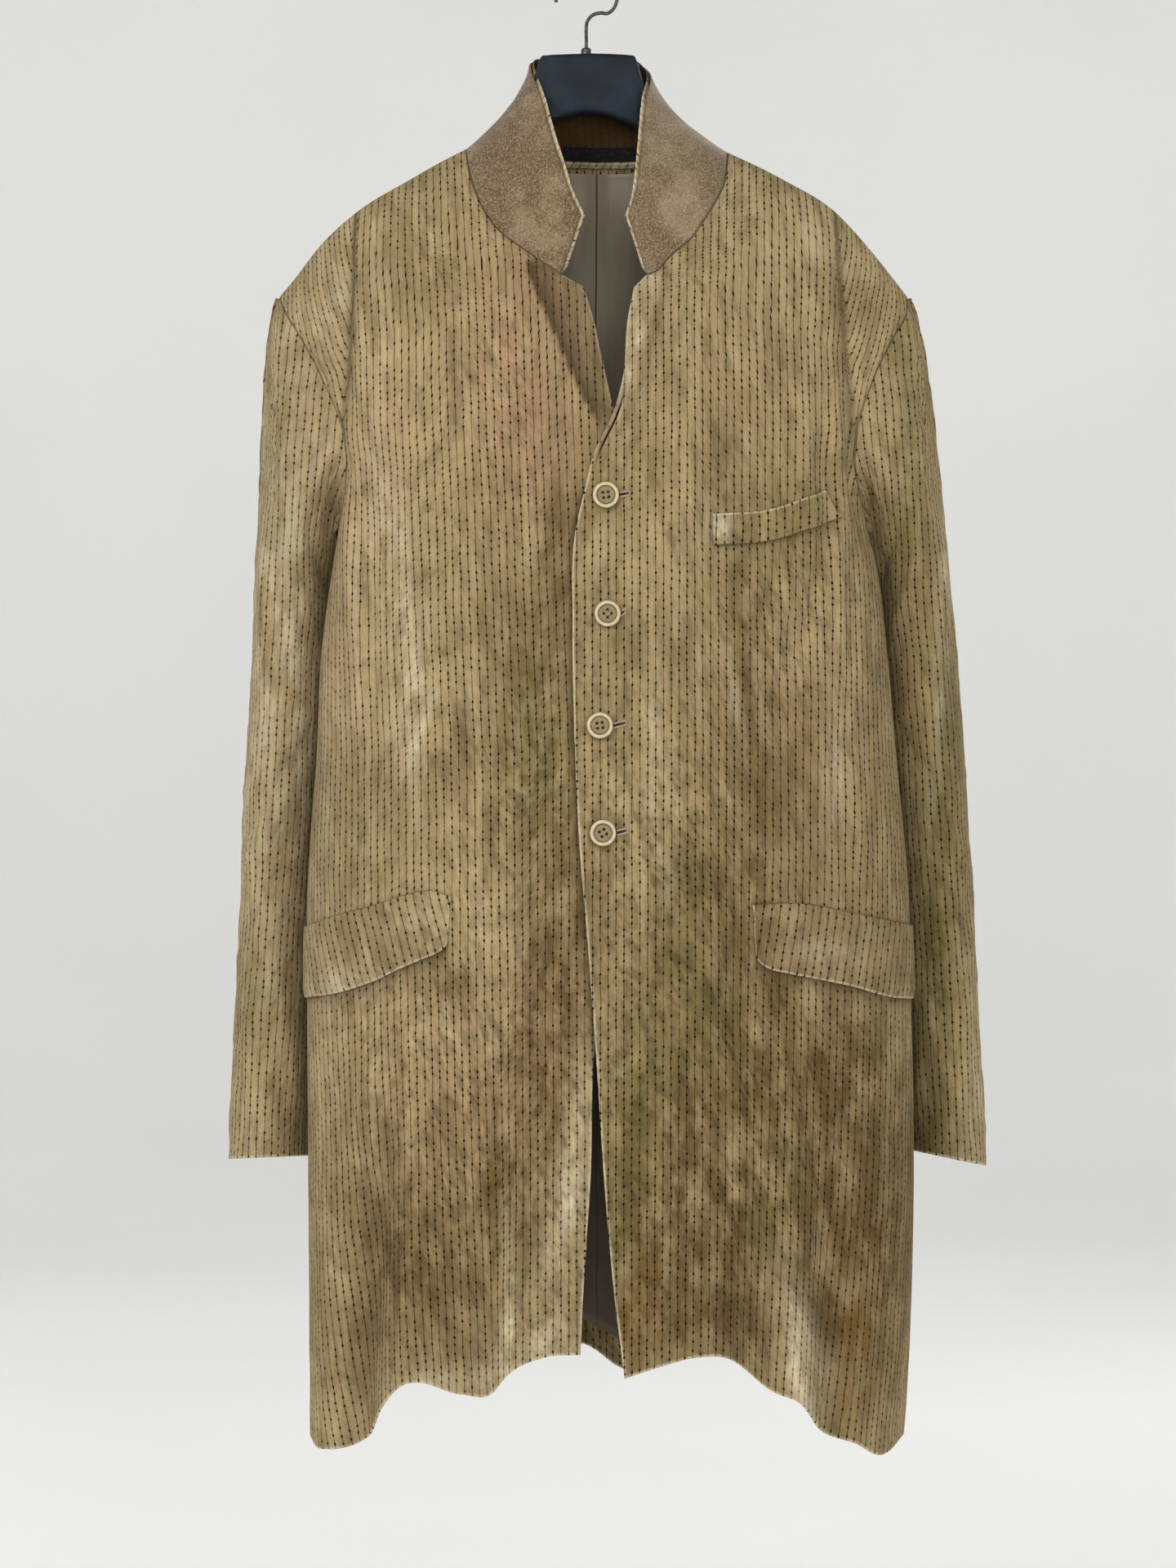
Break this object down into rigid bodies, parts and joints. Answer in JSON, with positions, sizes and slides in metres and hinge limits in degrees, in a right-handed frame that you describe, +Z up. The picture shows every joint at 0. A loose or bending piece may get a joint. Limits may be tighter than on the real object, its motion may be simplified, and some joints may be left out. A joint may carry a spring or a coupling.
{
  "type": "long single-breasted coat on a hanger",
  "caption": "Long pinstriped coat, buttoned, collar turned up, with sleeves, flap pockets and a welt pocket, on a moulded hanger with a wire hook.",
  "frame": {"origin": "the inside top of the hanger's hook, where a rail carries it", "axes": "+Z up, -Y the coat's front, +X the wearer's left"},
  "size_m": [0.6035, 0.2509, 1.1696],
  "materials": {
    "striped_cloth": "garment-dyed pinstriped cotton and linen cloth, matt, mottled",
    "collar_felt": "matt wool felt",
    "lining_satin": "soft satin lining",
    "label_tape": "woven tape, bare",
    "button_horn": "polished horn-like resin",
    "hanger_plastic": "moulded, satin",
    "hook_wire": "plated steel wire"
  },
  "bodies": {
    "root": {"front_right": "striped_cloth", "front_left": "striped_cloth", "back": "striped_cloth", "sleeve_right": "striped_cloth", "sleeve_left": "striped_cloth", "top_collar": "striped_cloth", "flap_right": "striped_cloth", "flap_left": "striped_cloth", "chest_welt": "striped_cloth", "undercollar": "collar_felt", "back_lining": "lining_satin", "label": "label_tape", "button_1": "button_horn", "button_2": "button_horn", "button_3": "button_horn", "button_4": "button_horn", "hanger": "hanger_plastic", "hook": "hook_wire", "hook_ferrule": "hook_wire"}
  },
  "joints": []
}
